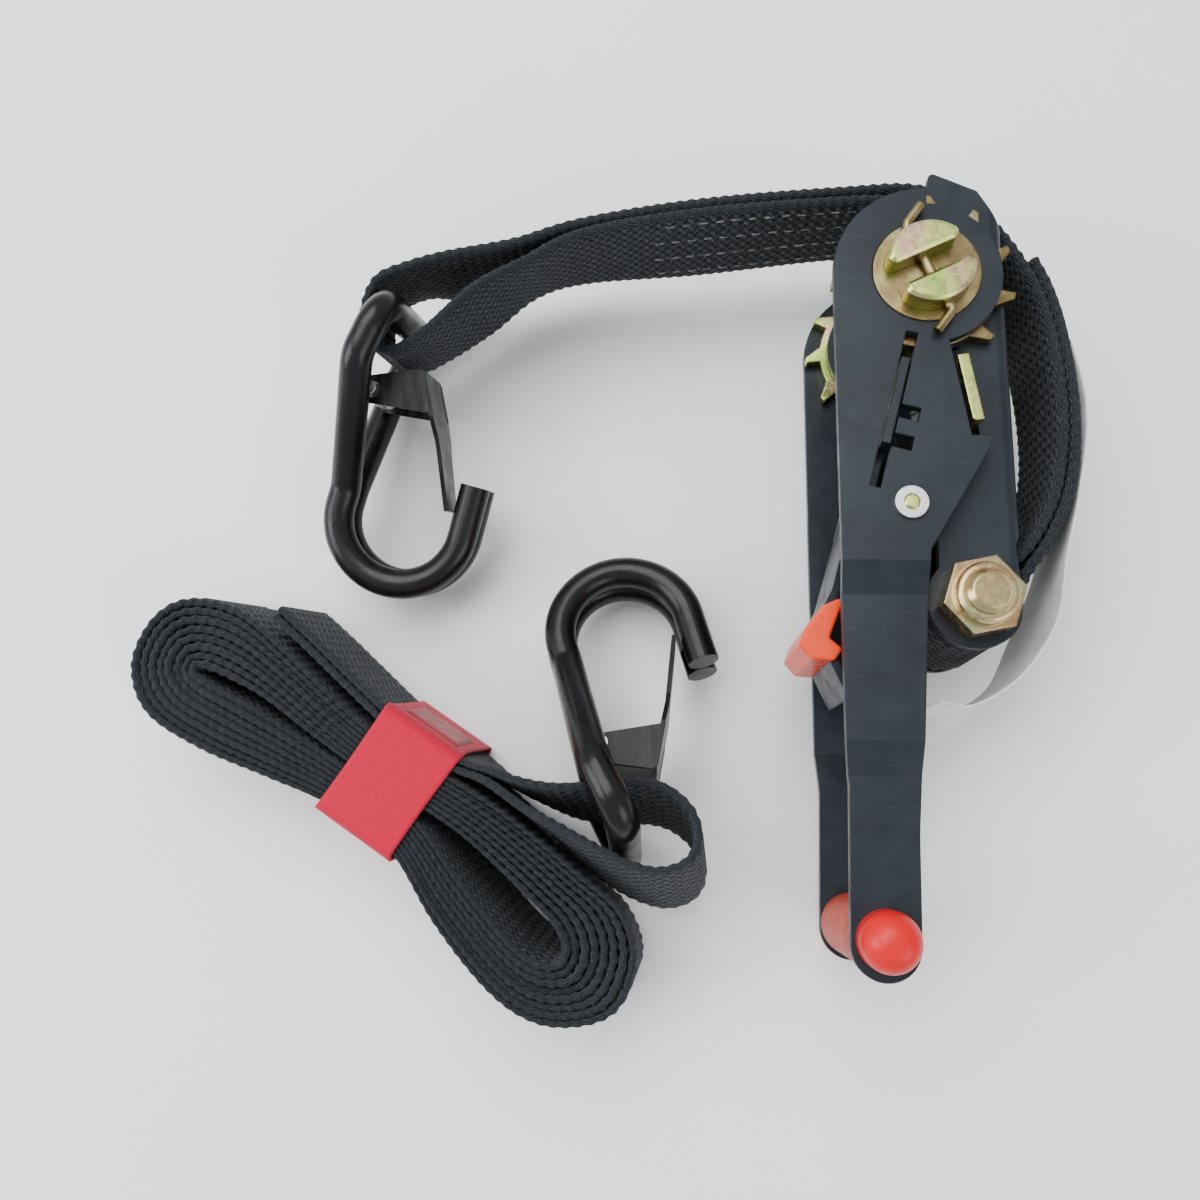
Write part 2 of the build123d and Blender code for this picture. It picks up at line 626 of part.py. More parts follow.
with BuildPart() as band:
    with BuildSketch(level(0, *COIL, COIL_TURN)):
        with Locations((0, BAND_MID)):
            Rectangle(2 * BAND_HALF, BAND_SPAN + 2 * COIL_LIFT)
    extrude(amount=WEB_WIDTH + 2 * COIL_LIFT)
    with BuildSketch(level(COIL_LIFT - 0.05, *COIL, COIL_TURN)):
        with Locations((0, BAND_MID)):
            Rectangle(2 * BAND_HALF + 1, BAND_SPAN)
    extrude(amount=WEB_WIDTH + 0.1, mode=Mode.SUBTRACT)
finish("band", band.part)
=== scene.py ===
import json
import math
import random

import bpy
import numpy as np
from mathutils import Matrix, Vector


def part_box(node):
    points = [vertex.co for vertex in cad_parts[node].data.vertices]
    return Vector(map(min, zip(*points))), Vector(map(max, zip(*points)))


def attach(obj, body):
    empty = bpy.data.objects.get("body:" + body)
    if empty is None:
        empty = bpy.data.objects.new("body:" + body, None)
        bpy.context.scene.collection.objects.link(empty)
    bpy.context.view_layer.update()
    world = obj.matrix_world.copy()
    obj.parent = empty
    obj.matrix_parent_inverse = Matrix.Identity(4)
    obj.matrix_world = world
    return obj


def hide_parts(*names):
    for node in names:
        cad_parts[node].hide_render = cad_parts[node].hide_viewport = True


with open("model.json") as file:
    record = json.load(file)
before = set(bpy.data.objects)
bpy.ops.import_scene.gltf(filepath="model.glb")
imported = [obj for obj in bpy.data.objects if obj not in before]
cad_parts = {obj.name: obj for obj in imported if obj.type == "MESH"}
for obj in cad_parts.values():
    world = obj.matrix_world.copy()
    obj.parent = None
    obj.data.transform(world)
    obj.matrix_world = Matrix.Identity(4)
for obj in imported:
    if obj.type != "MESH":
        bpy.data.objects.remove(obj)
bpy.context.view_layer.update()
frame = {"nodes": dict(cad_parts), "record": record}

MM = 0.001
joints = {joint["name"]: joint for joint in frame["record"]["behaviour"]["joints"]}
SPOOL = np.array(joints["handle_hinge"]["pos_m"]) / MM  # the spool's axis, at the buckle's middle height
BAND_LOW, BAND_HIGH = (np.array(corner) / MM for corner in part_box("band"))
COIL = (BAND_LOW + BAND_HIGH) / 2  # close to the middle of the coil
COIL_TURN = math.radians(-33.4)
WEB_WIDTH = 25.0
WEB_THICK = 1.7
RIB = 2.3  # pitch of the webbing's ribs
random.seed(7)


# ---------------------------------------------------------------- camera, light and floor
CAMERA_FROM_SPOOL = (-51.72, -103.42, 237.87)  # across, along, and above the floor
CAMERA_TURN = (11.79, 2.50, 0.89)  # degrees
SENSOR, LENS = 36.0, 32.69


def add_camera():
    """The photograph's own viewpoint: a wide lens close above the set."""
    data = bpy.data.cameras.new("camera")
    data.sensor_width = SENSOR
    data.lens = LENS
    camera = bpy.data.objects.new("camera", data)
    x, y, height = CAMERA_FROM_SPOOL
    camera.location = Vector((SPOOL[0] + x, SPOOL[1] + y, height)) * MM
    camera.rotation_euler = [math.radians(a) for a in CAMERA_TURN]
    bpy.context.scene.collection.objects.link(camera)
    bpy.context.scene.camera = camera


def add_area(name, place, aim, size, power, colour=(1, 1, 1)):
    data = bpy.data.lights.new(name, "AREA")
    data.shape = "RECTANGLE"
    data.size, data.size_y = size
    data.energy = power
    data.color = colour
    lamp = bpy.data.objects.new(name, data)
    lamp.location = place
    lamp.rotation_euler = (Vector(aim) - Vector(place)).to_track_quat("-Z", "Y").to_euler()
    bpy.context.scene.collection.objects.link(lamp)


def add_world():
    world = bpy.data.worlds.new("studio")
    world.use_nodes = True
    background = world.node_tree.nodes["Background"]
    background.inputs["Color"].default_value = (0.93, 0.96, 1.0, 1)
    background.inputs["Strength"].default_value = 0.8
    bpy.context.scene.world = world


# ---------------------------------------------------------------- small helpers for node materials
class Nodes:
    """Builds one Principled material, node by node."""

    def __init__(self, name, roughness=0.5, metallic=0.0, **extra):
        self.material = bpy.data.materials.new(name)
        self.material.use_nodes = True
        self.tree = self.material.node_tree
        self.shader = self.tree.nodes["Principled BSDF"]
        self.shader.inputs["Roughness"].default_value = roughness
        self.shader.inputs["Metallic"].default_value = metallic
        for socket, value in extra.items():
            self.shader.inputs[socket.replace("_", " ")].default_value = value
        self.coords = self.tree.nodes.new("ShaderNodeTexCoord")

    def node(self, kind, **settings):
        made = self.tree.nodes.new(kind)
        for key, value in settings.items():
            setattr(made, key, value)
        return made

    def link(self, source, target):
        self.tree.links.new(source, target)

    def mapped(self, output="Object", scale=(1, 1, 1)):
        mapping = self.node("ShaderNodeMapping")
        mapping.inputs["Scale"].default_value = scale
        self.link(self.coords.outputs[output], mapping.inputs["Vector"])
        return mapping.outputs["Vector"]

    def noise(self, vector, scale, detail=4.0, rough=0.6):
        texture = self.node("ShaderNodeTexNoise")
        texture.inputs["Scale"].default_value = scale
        texture.inputs["Detail"].default_value = detail
        texture.inputs["Roughness"].default_value = rough
        self.link(vector, texture.inputs["Vector"])
        return texture.outputs["Fac"]

    def wave(self, vector, direction):
        """Even bands, which repeat at every WAVE_PERIOD of the coordinate."""
        texture = self.node("ShaderNodeTexWave", bands_direction=direction)
        texture.inputs["Scale"].default_value = 1.0
        self.link(vector, texture.inputs["Vector"])
        return texture.outputs["Fac"]

    def ramp(self, fac, stops):
        ramp = self.node("ShaderNodeValToRGB")
        elements = ramp.color_ramp.elements
        while len(elements) < len(stops):
            elements.new(0.5)
        for element, (place, colour) in zip(elements, stops):
            element.position = place
            element.color = (*colour, 1)
        self.link(fac, ramp.inputs["Fac"])
        return ramp.outputs["Color"]

    def span(self, fac, low, high, start=0.0, end=1.0):
        """fac, from start to end, spread from low to high."""
        spread = self.node("ShaderNodeMapRange")
        for socket, value in (("From Min", start), ("From Max", end), ("To Min", low), ("To Max", high)):
            spread.inputs[socket].default_value = value
        self.link(fac, spread.inputs["Value"])
        return spread.outputs["Result"]

    def math(self, operation, first, second):
        made = self.node("ShaderNodeMath", operation=operation)
        for socket, value in zip(made.inputs, (first, second)):
            if isinstance(value, (int, float)):
                socket.default_value = value
            else:
                self.link(value, socket)
        return made.outputs["Value"]

    def mix(self, fac, first, second):
        """first where fac is 0, second where it is 1; each is a colour or an output."""
        made = self.node("ShaderNodeMix", data_type="RGBA")
        self.link(fac, made.inputs["Factor"])
        for socket, value in zip((made.inputs[6], made.inputs[7]), (first, second)):
            if isinstance(value, tuple):
                socket.default_value = (*value, 1)
            else:
                self.link(value, socket)
        return made.outputs[2]

    def colour(self, value):
        self.link(value, self.shader.inputs["Base Color"])

    def rough(self, value):
        self.link(value, self.shader.inputs["Roughness"])

    def bump(self, height, distance, strength=1.0, rounded=0.0):
        """Bump of a real height, over edges that are rounded to a small radius."""
        made = self.node("ShaderNodeBump")
        made.inputs["Distance"].default_value = distance
        made.inputs["Strength"].default_value = strength
        self.link(height, made.inputs["Height"])
        if rounded:
            bevel = self.node("ShaderNodeBevel", samples=4)
            bevel.inputs["Radius"].default_value = rounded
            self.link(bevel.outputs["Normal"], made.inputs["Normal"])
        self.link(made.outputs["Normal"], self.shader.inputs["Normal"])


# ---------------------------------------------------------------- materials
WAVE_PERIOD = math.pi / 10
BLACK, WHITE = (0, 0, 0), (1, 1, 1)


def coated_plate():
    """Dark blue-grey coating on sheet steel: faint cloudiness, dust and small scuffs."""
    m = Nodes("coated_plate", metallic=0.2, Specular_IOR_Level=0.3)
    place = m.mapped()
    clouds = m.noise(place, 45, 5)
    scuffs = m.ramp(m.noise(m.mapped(scale=(1, 7, 1)), 160, 6, 0.7), [(0.62, BLACK), (0.78, WHITE)])
    base = m.ramp(clouds, [(0.3, (0.008, 0.011, 0.015)), (0.7, (0.016, 0.022, 0.029))])
    m.colour(m.mix(m.math("MULTIPLY", scuffs, 0.25), base, (0.10, 0.115, 0.13)))
    m.rough(m.span(m.noise(place, 220, 6), 0.30, 0.50, 0.3, 0.7))
    m.bump(m.noise(place, 1500, 3), 0.00004, 0.5, 0.00035)
    return m.material


def yellow_zinc(name, low, middle, high, roughness):
    """Iridescent chromate on zinc: the hue drifts between yellow, green and pink."""
    m = Nodes(name, metallic=1.0)
    place = m.mapped()
    drift = m.noise(place, 130, 3, 0.5)
    m.colour(m.ramp(drift, [(0.34, low), (0.5, middle), (0.66, high)]))
    m.rough(m.span(m.noise(place, 700, 5), roughness - 0.08, roughness + 0.10, 0.3, 0.7))
    m.bump(m.noise(m.mapped(scale=(1, 1, 3)), 900, 4), 0.00005, 0.7, 0.00045)
    return m.material


def bright_zinc():
    m = Nodes("bright_zinc", metallic=1.0)
    place = m.mapped()
    m.colour(m.ramp(m.noise(place, 300, 3), [(0.3, (0.52, 0.53, 0.52)), (0.7, (0.74, 0.74, 0.72))]))
    m.rough(m.span(m.noise(place, 900, 5), 0.22, 0.42, 0.3, 0.7))
    m.bump(m.noise(place, 1400, 3), 0.00004, 0.6, 0.0002)
    return m.material


def hook_black():
    """Thick glossy black dip over wire, with slight waves and a few dull rubs."""
    m = Nodes("hook_black", Specular_IOR_Level=0.22, Coat_Weight=0.08, Coat_Roughness=0.12)
    place = m.mapped()
    m.colour(m.ramp(m.noise(place, 60, 4), [(0.3, (0.003, 0.003, 0.003)), (0.7, (0.007, 0.007, 0.0075))]))
    m.rough(m.span(m.noise(place, 180, 6, 0.7), 0.22, 0.46, 0.35, 0.75))
    m.bump(m.noise(place, 240, 4), 0.00016, 0.5, 0.0003)
    return m.material


def keeper_steel():
    """Dark worn sheet; paler along streaks in the rolling direction."""
    m = Nodes("keeper_steel", metallic=0.85)
    streaks = m.noise(m.mapped(scale=(6, 1, 1)), 120, 6, 0.65)
    dark, middle, pale = (0.010, 0.010, 0.010), (0.026, 0.025, 0.024), (0.20, 0.195, 0.19)
    m.colour(m.ramp(streaks, [(0.4, dark), (0.66, middle), (0.84, pale)]))
    m.rough(m.span(streaks, 0.28, 0.5, 0.3, 0.7))
    m.bump(streaks, 0.00005, 0.5, 0.0002)
    return m.material


def soft_vinyl(name, dark, light, roughness):
    """Dip-moulded plastic: nearly even colour and a fine pebbled skin."""
    m = Nodes(name, Specular_IOR_Level=0.25)
    place = m.mapped()
    m.colour(m.ramp(m.noise(place, 70, 4), [(0.3, dark), (0.7, light)]))
    m.rough(m.span(m.noise(place, 400, 5), roughness - 0.08, roughness + 0.1, 0.3, 0.7))
    m.bump(m.noise(place, 1800, 3), 0.00006, 0.5, 0.0004)
    return m.material


def woven(name, dark, mid, painted_glint, painted_glint_from, rib=RIB, yarn=1.9, sheen=0.04, depth=0.00035):
    """Narrow fabric in UV millimetres: bars and yarns in brick order, and painted highlights as pale glints
    on stray fibres.
    """
    m = Nodes(name, roughness=0.75, Sheen_Weight=sheen, Sheen_Roughness=0.5, Specular_IOR_Level=0.16)
    plain = m.mapped("UV")
    bars = m.span(m.wave(m.mapped("UV", (WAVE_PERIOD / rib, 1, 1)), "X"), -1.0, 1.0)
    yarns = m.span(m.wave(m.mapped("UV", (1, WAVE_PERIOD / yarn, 1)), "Y"), -1.0, 1.0)
    bricks = m.span(m.math("MULTIPLY", bars, yarns), 0.0, 1.0, -0.7, 0.7)
    fibres = m.noise(m.mapped("UV", (1.0, 3.5, 1)), 1.9, 8, 0.78)
    strands = m.math("MULTIPLY", bricks, m.span(fibres, 0.2, 1.2, 0.35, 0.68))
    base = m.mix(strands, dark, mid)
    # painted highlight: where the fibre noise is high, a pale glint colour is painted over the weave
    bright = m.ramp(fibres, [(painted_glint_from, BLACK), (painted_glint_from + 0.08, WHITE)])
    m.colour(m.mix(m.math("MULTIPLY", bright, bricks), base, painted_glint))
    m.rough(m.span(m.noise(plain, 1.5, 4), 0.62, 0.88, 0.3, 0.7))
    m.bump(m.math("ADD", m.math("MULTIPLY", bricks, 0.8), m.math("MULTIPLY", fibres, 0.45)), depth, 1.0)
    return m.material


def blank_label():
    m = Nodes("blank_label", roughness=0.5)
    place = m.mapped("UV")
    m.colour(m.ramp(m.noise(place, 0.35, 5), [(0.3, (0.70, 0.70, 0.68)), (0.7, (0.86, 0.86, 0.84))]))
    m.rough(m.span(m.noise(place, 2.0, 4), 0.4, 0.62, 0.3, 0.7))
    m.bump(m.noise(place, 3.0, 5), 0.00008, 0.6)
    return m.material


def thread():
    m = Nodes("thread", roughness=0.7, Sheen_Weight=0.3)
    place = m.mapped()
    m.colour(m.ramp(m.noise(place, 900, 3), [(0.35, (0.03, 0.033, 0.038)), (0.7, (0.34, 0.35, 0.36))]))
    m.bump(m.noise(m.mapped(scale=(1, 1, 3)), 2600, 3), 0.00005, 0.8)
    return m.material


def pale_floor():
    m = Nodes("pale_floor", roughness=0.65)
    m.colour(m.ramp(m.noise(m.mapped(), 6, 4), [(0.3, (0.83, 0.83, 0.83)), (0.7, (0.87, 0.87, 0.87))]))
    return m.material


# ---------------------------------------------------------------- curves and ribbons, in millimetres
def smooth(points, per_span=12, closed=False):
    """A Catmull-Rom curve through rows of numbers."""
    p = np.array(points, float)
    if closed:
        p = np.vstack([p[-1], p, p[0], p[1]])
    else:
        p = np.vstack([2 * p[0] - p[1], p, 2 * p[-1] - p[-2]])
    t = np.linspace(0, 1, per_span, endpoint=False)[:, None]
    rows = []
    for a, b, c, d in zip(p[:-3], p[1:-2], p[2:-1], p[3:]):
        square = (2 * a - 5 * b + 4 * c - d) * t**2
        cube = (3 * b - a - 3 * c + d) * t**3
        rows.append(0.5 * (2 * b + (c - a) * t + square + cube))
    if not closed:
        rows.append(p[-2:-1])
    return np.vstack(rows)


def even(rows, step, key=slice(0, 3)):
    """The same rows, spaced evenly along the line that their key columns draw."""
    gaps = np.linalg.norm(np.diff(rows[:, key], axis=0), axis=1)
    along = np.concatenate([[0], np.cumsum(gaps)])
    places = np.linspace(0, along[-1], max(3, int(along[-1] / step)))
    return np.column_stack([np.interp(places, along, column) for column in rows.T]), places


def ease(x, middle, width):
    """0 well before the middle, 1 well after it."""
    return 1 / (1 + math.exp((middle - x) / width))


def mesh_object(name, vertices, faces, uvs, material):
    """A mesh from millimetres; uvs holds one pair for each vertex of each face, in order."""
    mesh = bpy.data.meshes.new(name)
    mesh.from_pydata([tuple(v) for v in np.asarray(vertices) * MM], [], faces)
    layer = mesh.uv_layers.new(name="UVMap")
    layer.data.foreach_set("uv", np.asarray(uvs, float).ravel())
    mesh.polygons.foreach_set("use_smooth", [True] * len(mesh.polygons))
    mesh.materials.append(material)
    mesh.update()
    piece = bpy.data.objects.new(name, mesh)
    bpy.context.scene.collection.objects.link(piece)
    return piece


def section(width):
    """Points round a flat strap's section: (place across the width, side, edge weight)."""
    half = width / 2
    across = [-half * f for f in (0.93, 0.62, 0.31, 0.0, -0.31, -0.62, -0.93)]
    right = [(v, 1.0, 0.0) for v in across]
    top = [(half, 0.62, 1.0), (half * 1.006, 0.0, 1.0), (half, -0.62, 1.0)]
    left = [(v, -1.0, 0.0) for v in reversed(across)]
    bottom = [(-half, -0.62, -1.0), (-half * 1.006, 0.0, -1.0), (-half, 0.62, -1.0)]
    return right + top + left + bottom


def ribbon(name, rows, material, thick=WEB_THICK, width=WEB_WIDTH, rib=RIB, relief=0.34, step=0.46):
    """A flat strap with ribs across it; the piece, its length in metres, and the line that it follows.

    Each row is x, y, z of its middle, its up direction, and factors of its thickness and relief.
    """
    line, along = even(np.asarray(rows, float), step)
    middle, up, factor, rough = line[:, :3], line[:, 3:6], line[:, 6], line[:, 7]
    up = up / np.linalg.norm(up, axis=1)[:, None]
    heading = np.gradient(middle, axis=0)
    aside = np.cross(heading, up)
    aside = aside / np.linalg.norm(aside, axis=1)[:, None]
    ring = section(width)
    phase = 2 * np.pi * along / rib
    columns = []
    for v, side, edge in ring:
        wave = np.sin(phase + (np.pi if side < 0 else 0.0))
        out = side * (thick * factor / 2 + (0 if edge else relief * rough * (0.5 * wave)))
        lift = v + edge * relief * 1.3 * wave * rough * (side or 0.4)
        columns.append(middle + aside * out[:, None] + up * lift[:, None])
    count, size = len(middle), len(ring)
    vertices = np.stack(columns, axis=1).reshape(-1, 3)
    girth = np.linspace(0, 2 * (width + thick), size + 1)
    faces, uvs = [], []
    for i in range(count - 1):
        for k in range(size):
            n = (k + 1) % size
            faces.append((i * size + k, i * size + n, (i + 1) * size + n, (i + 1) * size + k))
            uvs += [(along[i], girth[k]), (along[i], girth[k + 1])]
            uvs += [(along[i + 1], girth[k + 1]), (along[i + 1], girth[k])]
    for start, order in ((0, range(size - 1, -1, -1)), ((count - 1) * size, range(size))):
        faces.append(tuple(start + k for k in order))
        uvs += [(0.0, girth[k]) for k in order]
    piece = mesh_object(name, vertices, faces, uvs, material)
    return piece, along[-1] * MM, (middle, up, aside, along)


def declare(piece, body, nodes):
    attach(piece, body)
    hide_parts(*nodes)


# ---------------------------------------------------------------- short strap
STRAP_FALL = math.tan(math.radians(1.4))
BOLT = np.array(joints["short_strap_swing"]["pos_m"]) / MM - SPOOL
STRAP_MIDDLE = 24.9
STRAP_THICK = 1.95
HOOK_LEAN = 0.24  # the strap leans with the hook's tilted wire
LOOP_R = 7.5
# its route, across and along from the spool's axis, one part after another
OUTER_LAYER = [
    (23.6, 7.5), (26.2, 1.0), (28.3, -9.0), (29.4, -24.0), (27.9, -38.0), (23.6, -48.6), (18.2, -56.6),
]
INNER_LAYER = [
    (12.6, -55.4), (18.4, -52.0), (23.4, -44.0), (25.9, -36.0), (27.3, -24.0), (26.2, -8.0), (22.3, 5.0),
]
ROUND_THE_HEAD = [
    (13.8, 17.6), (2.0, 23.6), (-14.0, 24.0), (-42.0, 21.6), (-66.0, 19.2), (-80.0, 15.9), (-94.0, 13.0),
]
ROUND_THE_HOOK = [(-102.2, 12.0), (-108.4, 9.0), (-110.6, 2.0), (-109.0, -4.6), (-104.4, -6.5), (-98.0, -3.2)]
RETURN_LAYER = [(-88.0, 5.0), (-78.0, 12.0), (-66.0, 16.8), (-42.0, 19.6), (-14.0, 21.9), (-5.0, 21.8)]


def strap_row(x, y):
    """The ribbon's row for a place on the short strap's route."""
    at_hook = ease(-x, 95, 3.0)
    fold = 0.20 * math.exp(-(((x + 74) / 9) ** 2))
    sway = 0.03 * math.sin(x / 11.0)
    height = STRAP_MIDDLE + (x - BOLT[0]) * STRAP_FALL
    return (SPOOL[0] + x, SPOOL[1] + y, height, 0.0, -HOOK_LEAN * at_hook - fold + sway, 1.0, 1.0, 1.0)


def short_strap_rows():
    turns = [math.radians(a) for a in (95, 140, 185, 230, 275, 318)]
    loop = [(BOLT[0] + LOOP_R * math.cos(a), BOLT[1] + LOOP_R * math.sin(a)) for a in reversed(turns)]
    route = OUTER_LAYER + loop + INNER_LAYER + ROUND_THE_HEAD + ROUND_THE_HOOK + RETURN_LAYER
    return smooth([strap_row(x, y) for x, y in route])


STITCH_PITCH, STITCH_LENGTH = 3.4, 2.1
STITCH_WIDE, STITCH_PROUD, STITCH_LIFT = 0.42, 0.22, 0.14
STITCH_RING = [(-0.5, 0), (-0.3, 1), (0.3, 1), (0.5, 0)]  # across the thread, and how high
STITCH_STATIONS = [(0.0, 0.0), (0.2, 1.0), (0.8, 1.0), (1.0, 0.0)]  # along it, and how full


def stitches(name, line, start, end, rows):
    """Rows of short raised threads on one face of a ribbon, between two places along it."""
    middle, up, aside, along = line
    columns = np.hstack([middle, up, aside]).T
    vertices, faces, uvs = [], [], []
    for row in rows:
        place = start + random.random() * STITCH_PITCH
        while place < end:
            first = len(vertices)
            wander = random.uniform(-0.12, 0.12)
            for share, tall in STITCH_STATIONS:
                at = np.array([np.interp(place + STITCH_LENGTH * share, along, column) for column in columns])
                base = at[:3] + at[6:9] * (WEB_THICK / 2 + STITCH_LIFT)
                for across, high in STITCH_RING:
                    shift = row + wander + across * STITCH_WIDE * (0.6 + 0.4 * tall)
                    vertices.append(base + at[3:6] * shift + at[6:9] * high * tall * STITCH_PROUD)
            for i in range(3):
                for k in range(3):
                    a = first + i * 4 + k
                    faces.append((a, a + 1, a + 5, a + 4))
            faces.append(tuple(first + k for k in (0, 4, 8, 12, 15, 11, 7, 3)))
            place += STITCH_PITCH
    for face in faces:
        uvs += [(0.0, 0.0)] * len(face)
    return mesh_object(name, vertices, faces, uvs, MATERIALS["thread"])


def add_short_strap():
    rows = short_strap_rows()
    strap, length, line = ribbon("short_strap_webbing", rows, MATERIALS["webbing"], thick=STRAP_THICK)
    tail = line[3][-1]
    seam = stitches("hook_loop_stitches", line, tail - 47.0, tail - 2.5, (-9.2, -3.2, 3.2, 9.2))
    box = stitches("bolt_loop_stitches", line, 3.0, 40.0, (-9.6, 0.0, 9.6))
    for piece in (seam, box):
        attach(piece, "short_strap")
    declare(strap, "short_strap", ["short_strap"])


LABEL_MIDDLE = 25.2
LABEL_ROUTE = [
    (29.9, -9.0), (31.0, -24.0), (29.9, -40.0), (26.6, -53.0), (22.4, -65.5), (16.6, -75.0), (8.6, -80.0),
    (0.5, -80.4),
]


def add_label():
    rows = []
    for n, (x, y) in enumerate(LABEL_ROUTE):
        curl = 0.10 * math.sin(n * 1.9)
        rows.append((SPOOL[0] + x, SPOOL[1] + y, LABEL_MIDDLE, curl, curl * 0.6, 1.0, 1.0, 1.0))
    label, length, _ = ribbon(
        "blank_strap_label", smooth(rows), MATERIALS["label"],
        thick=0.35, width=23.0, rib=7.0, relief=0.05, step=1.0,
    )
    declare(label, "short_strap", ["strap_label"])


# ---------------------------------------------------------------- long strap: coil, eye and band
TURNS = 8
OUTLINE = [  # (outer, inner) pairs round the coil, along and across its length, from under the band
    ((2.0, 9.1), (2.0, 0.3)), ((-8.0, 9.2), (-8.0, 0.4)), ((-18.0, 10.3), (-18.0, 0.6)),
    ((-34.0, 13.0), (-30.0, 0.9)), ((-45.0, 14.2), (-38.0, 0.0)), ((-53.4, 12.0), (-42.6, -0.9)),
    ((-59.5, 7.0), (-44.4, -1.5)), ((-61.0, -0.6), (-44.8, -1.9)), ((-57.8, -9.6), (-44.0, -2.4)),
    ((-49.0, -15.4), (-40.0, -1.9)), ((-35.5, -15.0), (-33.0, -0.8)), ((-21.0, -11.7), (-21.0, -0.1)),
    ((-9.0, -8.9), (-9.0, 0.1)), ((0.0, -8.4), (0.0, 0.0)), ((9.4, -9.2), (9.4, -0.5)),
    ((22.5, -14.5), (21.0, -3.8)), ((39.0, -18.6), (36.0, -7.4)), ((50.0, -17.8), (41.4, -7.8)),
    ((58.0, -12.3), (44.2, -7.0)), ((61.0, -6.0), (44.6, -5.6)), ((58.4, 1.4), (43.6, -4.2)),
    ((51.3, 6.2), (40.0, -3.0)), ((42.0, 7.2), (34.0, -2.1)), ((30.0, 8.3), (27.0, -1.2)),
    ((18.0, 9.1), (16.0, 0.0)),
]
COIL_MIDDLE = 0.6 + WEB_WIDTH / 2  # height
COIL_SHIFT = 0.2  # of the turns, across, to -b
BAND_HALF = 9.0
BAND_OFFSET = 2.1  # the band's middle, across, from the coil's long axis


def coil_place(a, b, z):
    """A point of the coil: along and across its length, turned and moved to where it lies."""
    c, s = math.cos(COIL_TURN), math.sin(COIL_TURN)
    origin = COIL - np.array([-s, c, 0]) * BAND_OFFSET
    return (origin[0] + a * c - b * s, origin[1] + a * s + b * c, z)


def coil_direction(a, b, z):
    c, s = math.cos(COIL_TURN), math.sin(COIL_TURN)
    return (a * c - b * s, a * s + b * c, z)


def coil_lean(a, b):
    """Slope of the turns: their tops lean to -b, but not on the side that the hook's eye props."""
    propped = ease(a, 14.0, 6.0) * ease(b, -1.0, 2.0)
    return (0.16 + 0.05 * ease(a, 20.0, 4.0)) * (1 - propped)


def freedom(a):
    """0 where the band grips the turns, 1 where they are free of it."""
    return float(np.clip((abs(a) - BAND_HALF - 1.0) / 7.0, 0.0, 1.0))


def coil_rows():
    """Rows of one spiral through all the turns, from the inner line out to the outer."""
    pairs = smooth([(*outer, *inner) for outer, inner in OUTLINE], 14, closed=True)
    outer, inner = pairs[:, :2], pairs[:, 2:]
    count = len(pairs)
    rows = []
    for n in range(count * TURNS):
        k = n % count
        share = (n / count + 0.5) / (TURNS + 1)
        a, b = inner[k] + (outer[k] - inner[k]) * share
        normal = outer[(k + 1) % count] - outer[k - 1]
        normal = np.array([normal[1], -normal[0]]) / np.linalg.norm(normal)
        pitch = abs(np.dot(outer[k] - inner[k], normal)) / (TURNS + 1)
        free = freedom(a)
        wander = free * (0.30 * math.sin(n / count * 9.7) + 0.25 * math.sin(n / count * 23.1 + 1.0))
        lean = coil_lean(a, b)
        middle = coil_place(a, b - COIL_SHIFT, COIL_MIDDLE + wander)
        thickness = min(1.0, 0.95 * pitch / WEB_THICK)
        rows.append((*middle, *coil_direction(0, -lean, 1.0), thickness, 0.2 + 0.8 * free))
    return np.array(rows)


EYE_RISE = math.radians(14.0)
EYE_FOOT = 8.0
EYE_LEAN = 0.22
LAYER_HALF = 0.92  # half the step between the two layers that are sewn together
EYE_LOOP = [  # along and across, in the eye's own plane, from the upper strand round to the lower one
    (10.0, 13.0), (16.0, 14.0), (23.0, 16.2), (30.0, 20.2), (36.0, 24.6), (41.4, 26.4), (47.4, 25.6),
    (51.4, 22.0), (51.9, 17.6), (48.6, 13.4), (43.0, 11.2), (36.0, 10.3), (28.0, 10.0), (20.0, 10.3),
    (10.0, 10.8),
]
SEWN_TAIL = [(9.6, 11.8), (2.0, 11.7), (-8.0, 11.9), (-18.0, 13.3), (-30.0, 15.2), (-39.0, 16.4)]


def eye_rows():
    rows = []

    def flat_row(a, b):
        lean = coil_lean(a, b)
        middle = coil_place(a, b - COIL_SHIFT, COIL_MIDDLE)
        return (*middle, *coil_direction(0, -lean, 1), 0.9, 0.15 + 0.5 * freedom(a))

    for a, b in reversed(SEWN_TAIL):
        rows.append(flat_row(a, b + LAYER_HALF))
    for a, b in EYE_LOOP:
        lean = EYE_LEAN * ease(a, 24.0, 4.0)
        middle = coil_place(EYE_FOOT + a * math.cos(EYE_RISE), b, COIL_MIDDLE + a * math.sin(EYE_RISE))
        rise = math.sin(EYE_RISE) * min(1.0, a / 14.0)
        rows.append((*middle, *coil_direction(-rise, lean, math.cos(EYE_RISE)), 0.95, 0.8))
    for a, b in SEWN_TAIL:
        rows.append(flat_row(a, b - LAYER_HALF))
    return smooth(rows)


def add_long_strap():
    coil, length, _ = ribbon("long_strap_turns", coil_rows(), MATERIALS["webbing"])
    declare(coil, "long_strap", ["long_strap_coil"])
    eye, length, line = ribbon("long_strap_eye_webbing", eye_rows(), MATERIALS["webbing"])
    seam = stitches("eye_stitches", line, 2.5, 26.0, (-9.0, -3.0, 3.0, 9.0))
    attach(seam, "long_strap")
    declare(eye, "long_strap", ["long_strap_eye"])


